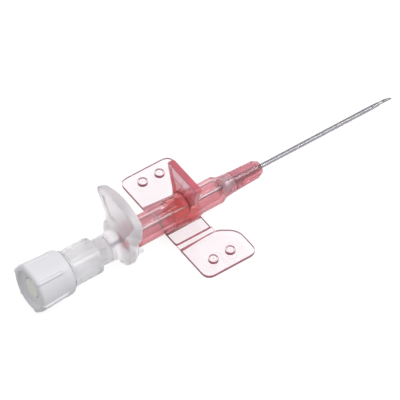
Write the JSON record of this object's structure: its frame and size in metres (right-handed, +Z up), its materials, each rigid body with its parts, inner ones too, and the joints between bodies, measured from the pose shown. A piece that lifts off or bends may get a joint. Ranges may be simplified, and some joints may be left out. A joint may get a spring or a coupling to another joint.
{
  "type": "winged iv cannula",
  "caption": "Winged intravenous cannula with its needle in place: flexible catheter on a winged hub with push plate, needle grip, flashback chamber and luer cap.",
  "frame": {"origin": "centre of the catheter hub's open luer mouth, on the needle's axis", "axes": "+X along the needle to its point, +Z up through the push plate, +Y towards the left wing"},
  "size_m": [0.0932, 0.0326, 0.0186],
  "materials": {
    "hub_plastic": "clear pink moulded plastic, polished",
    "wing_plastic": "clear pale pink flexible plastic",
    "catheter_film": "clear smooth fluoropolymer tube",
    "steel": "drawn stainless tube, polished point",
    "grip_plastic": "milky translucent moulded plastic",
    "chamber_plastic": "clear moulded plastic, slightly milky",
    "cap_plastic": "white moulded plastic, satin",
    "filter_felt": "porous sintered filter, off-white"
  },
  "bodies": {
    "hub": {"catheter_hub": "hub_plastic", "catheter_tube": "catheter_film", "catheter_ferrule": "steel"},
    "needle_set": {"needle_grip": "grip_plastic", "needle_tube": "steel", "flash_chamber": "chamber_plastic"},
    "cap": {"luer_cap": "cap_plastic", "vent_filter": "filter_felt"},
    "wing_left": {"left_wing": "wing_plastic"},
    "wing_right": {"right_wing": "wing_plastic"}
  },
  "joints": [
    {"name": "needle_withdraw", "type": "slide", "parent": "hub", "child": "needle_set", "axis": [-1, 0, 0], "range_m": [0, 0.07]},
    {"name": "cap_pull", "type": "slide", "parent": "needle_set", "child": "cap", "axis": [-1, 0, 0], "range_m": [0, 0.012]},
    {"name": "left_wing_fold", "type": "hinge", "parent": "hub", "child": "wing_left", "pos_m": [0.013, 0.00577, -0.00402], "axis": [1, 0, 0], "range_deg": [0, 75], "stiffness_Nm_per_rad": 0.008},
    {"name": "right_wing_fold", "type": "hinge", "parent": "hub", "child": "wing_right", "pos_m": [0.013, -0.00577, -0.00402], "axis": [-1, 0, 0], "range_deg": [0, 75], "stiffness_Nm_per_rad": 0.008}
  ]
}
